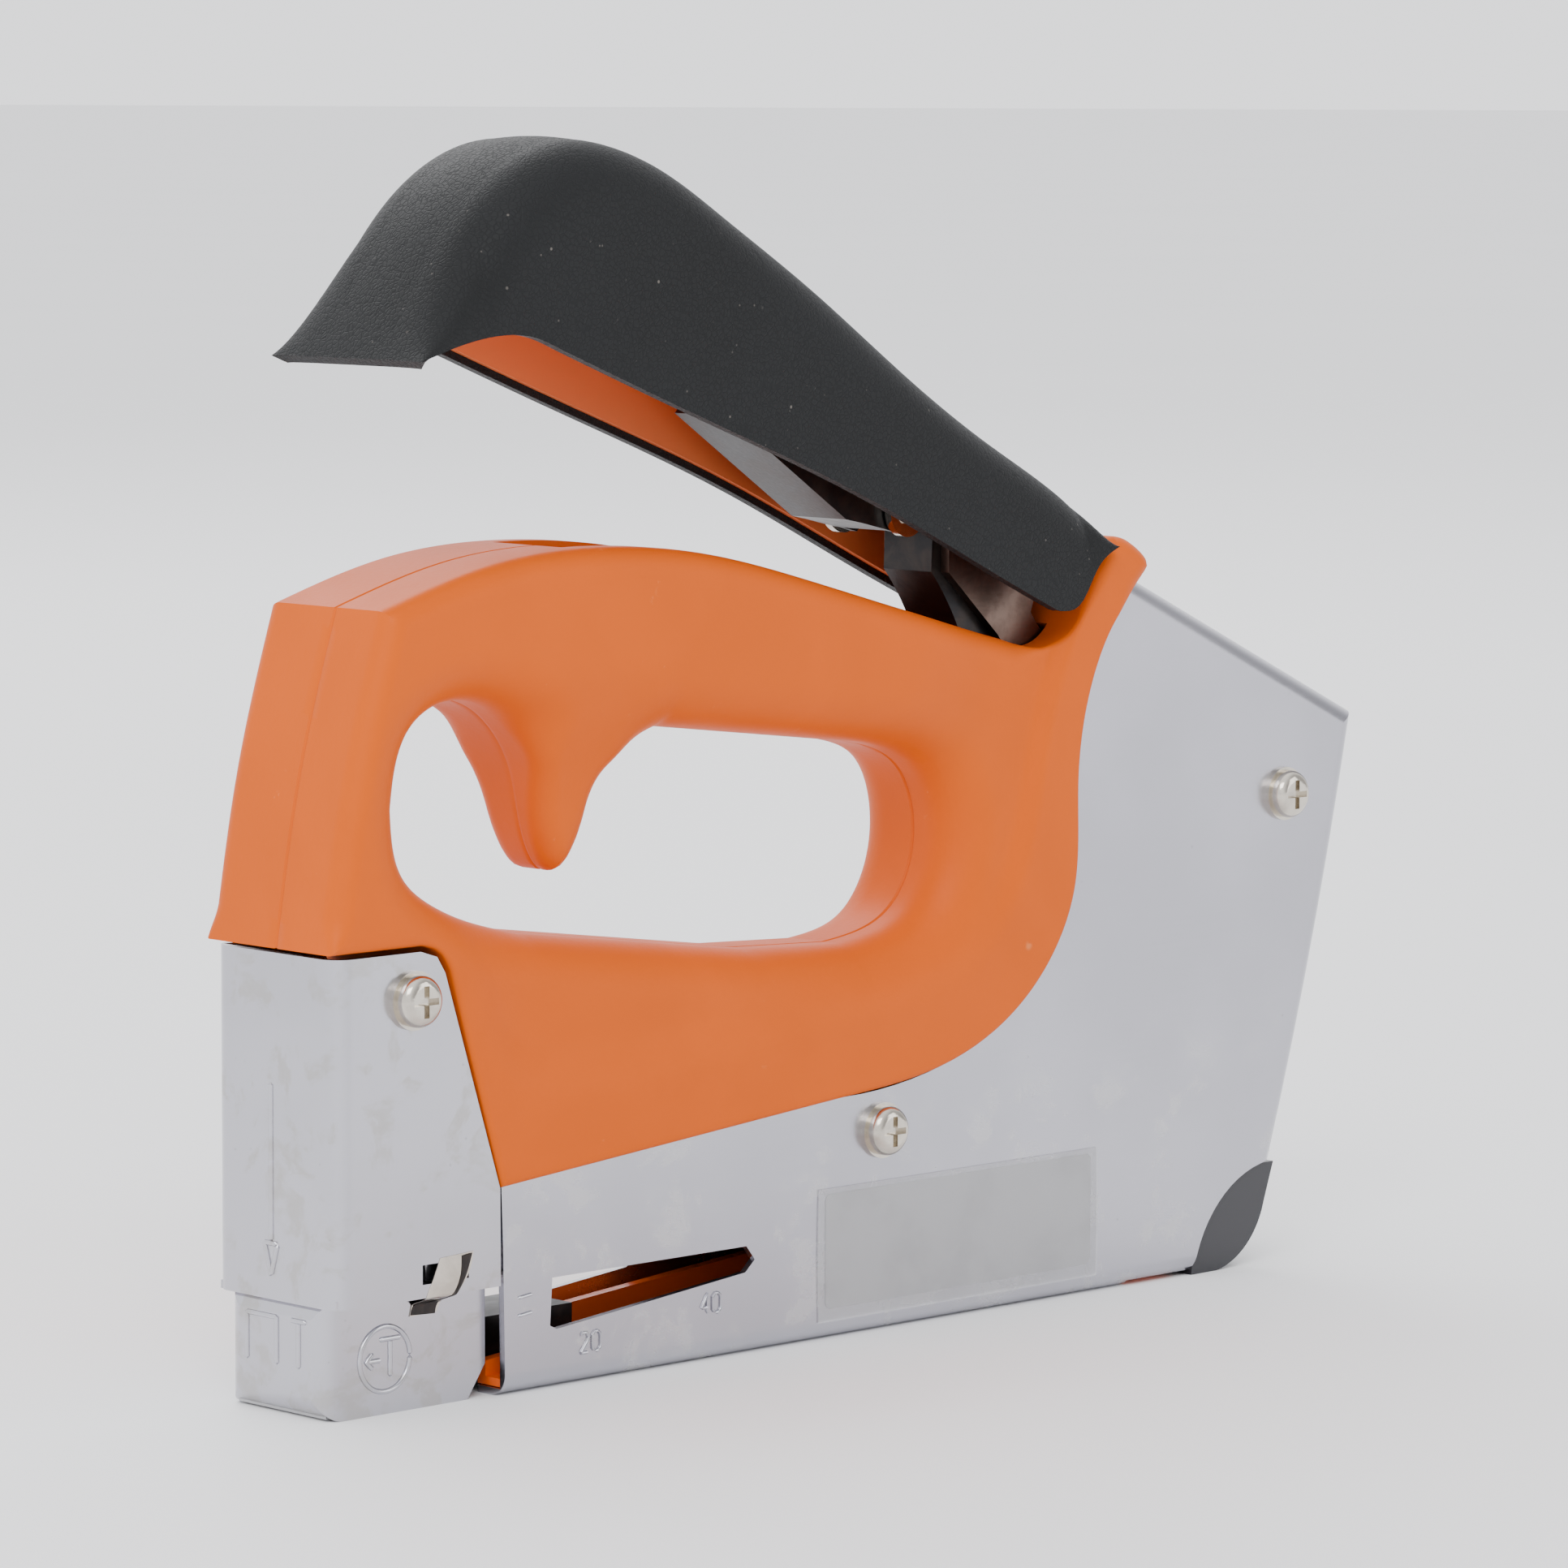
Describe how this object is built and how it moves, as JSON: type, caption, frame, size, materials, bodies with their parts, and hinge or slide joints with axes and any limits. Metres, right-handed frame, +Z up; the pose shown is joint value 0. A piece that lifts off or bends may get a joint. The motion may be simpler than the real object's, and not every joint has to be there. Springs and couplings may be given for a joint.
{
  "type": "staple gun",
  "caption": "Hand staple gun with a forward-action lever, a moulded orange finger grip, a folded steel body and nose, and a magazine that pulls out at the heel.",
  "frame": {"origin": "under the middle of the whole tool, on the plane of its flat base", "axes": "+X runs from the nose back to the heel along the base, +Y is sideways away from the screw heads, +Z is up"},
  "size_m": [0.1988, 0.0309, 0.1655],
  "materials": {
    "body_steel": "plated steel sheet, satin with a soft grain",
    "nose_steel": "bright plated steel, scuffed and stained",
    "label_film": "blank grey film label",
    "orange_plastic": "fine-textured moulded orange plastic",
    "nickel": "bright nickel plating",
    "inner_steel": "plain stamped steel",
    "liner_plastic": "glossy moulded orange plastic",
    "spring_steel": "oiled spring steel",
    "black_rubber": "black moulded rubber with a leathery grain",
    "orange_paint": "orange powder coat with a light texture",
    "bronzed_steel": "browned steel",
    "black_steel": "blackened steel",
    "black_gloss": "glossy black plastic"
  },
  "bodies": {
    "frame": {"housing_left": "body_steel", "housing_right": "body_steel", "nose_plate": "nose_steel", "label": "label_film", "grip_shell_left": "orange_plastic", "grip_shell_right": "orange_plastic", "body_screws": "nickel", "screw_washers": "nickel", "body_nuts": "nickel", "blade_guide": "inner_steel", "liner_rail_right": "liner_plastic", "liner_rail_left": "liner_plastic", "magazine_roof": "inner_steel", "mechanism_plate_right": "inner_steel", "mechanism_plate_left": "inner_steel", "lever_pin": "inner_steel", "rocker_pin": "inner_steel", "spring_seat": "inner_steel", "power_spring": "spring_steel", "lever_spring": "spring_steel"},
    "lever": {"lever_grip": "black_rubber", "lever_channel": "orange_paint", "lever_inlay": "orange_plastic", "lever_bracket_right": "bronzed_steel", "lever_bracket_left": "bronzed_steel", "cam_arm": "black_steel", "latch_lugs": "nickel", "latch_pin": "nickel"},
    "latch": {"lock_latch": "black_steel"},
    "rocker_arm": {"rocker": "inner_steel"},
    "striker": {"striker_blade": "spring_steel"},
    "magazine": {"magazine_rail": "inner_steel", "guide_rod": "inner_steel", "end_cap": "black_gloss", "pusher_spring": "spring_steel"},
    "follower": {"pusher": "black_steel"}
  },
  "joints": [
    {"name": "lever_hinge", "type": "hinge", "parent": "frame", "child": "lever", "pos_m": [0.0451, 0, 0.083], "axis": [0, -1, 0], "range_deg": [0, 10.89], "stiffness_Nm_per_rad": 1.5, "springref_deg": -8.59, "deforming": ["lever_spring"]},
    {"name": "rocker_hinge", "type": "hinge", "parent": "frame", "child": "rocker_arm", "pos_m": [0.0131, 0, 0.032], "axis": [0, -1, 0], "range_deg": [-7.1, 0], "deforming": ["power_spring"]},
    {"name": "striker_slide", "type": "slide", "parent": "frame", "child": "striker", "axis": [0, 0, 1], "range_m": [0, 0.0142]},
    {"name": "latch_hinge", "type": "hinge", "parent": "lever", "child": "latch", "pos_m": [0.0101, 0, 0.1132], "axis": [0, -1, 0], "range_deg": [0, 25], "stiffness_Nm_per_rad": 0.02, "springref_deg": -17.19},
    {"name": "magazine_slide", "type": "slide", "parent": "frame", "child": "magazine", "axis": [1, 0, 0], "range_m": [0, 0.1]},
    {"name": "pusher_slide", "type": "slide", "parent": "magazine", "child": "follower", "axis": [1, 0, 0], "range_m": [0, 0.085], "stiffness_N_per_m": 20, "springref_m": -0.05, "deforming": ["pusher_spring"]}
  ],
  "couplings": [
    {"joint": "rocker_hinge", "follows": "lever_hinge", "ratio": -0.645},
    {"joint": "striker_slide", "follows": "lever_hinge", "m_per_rad": 0.07}
  ]
}
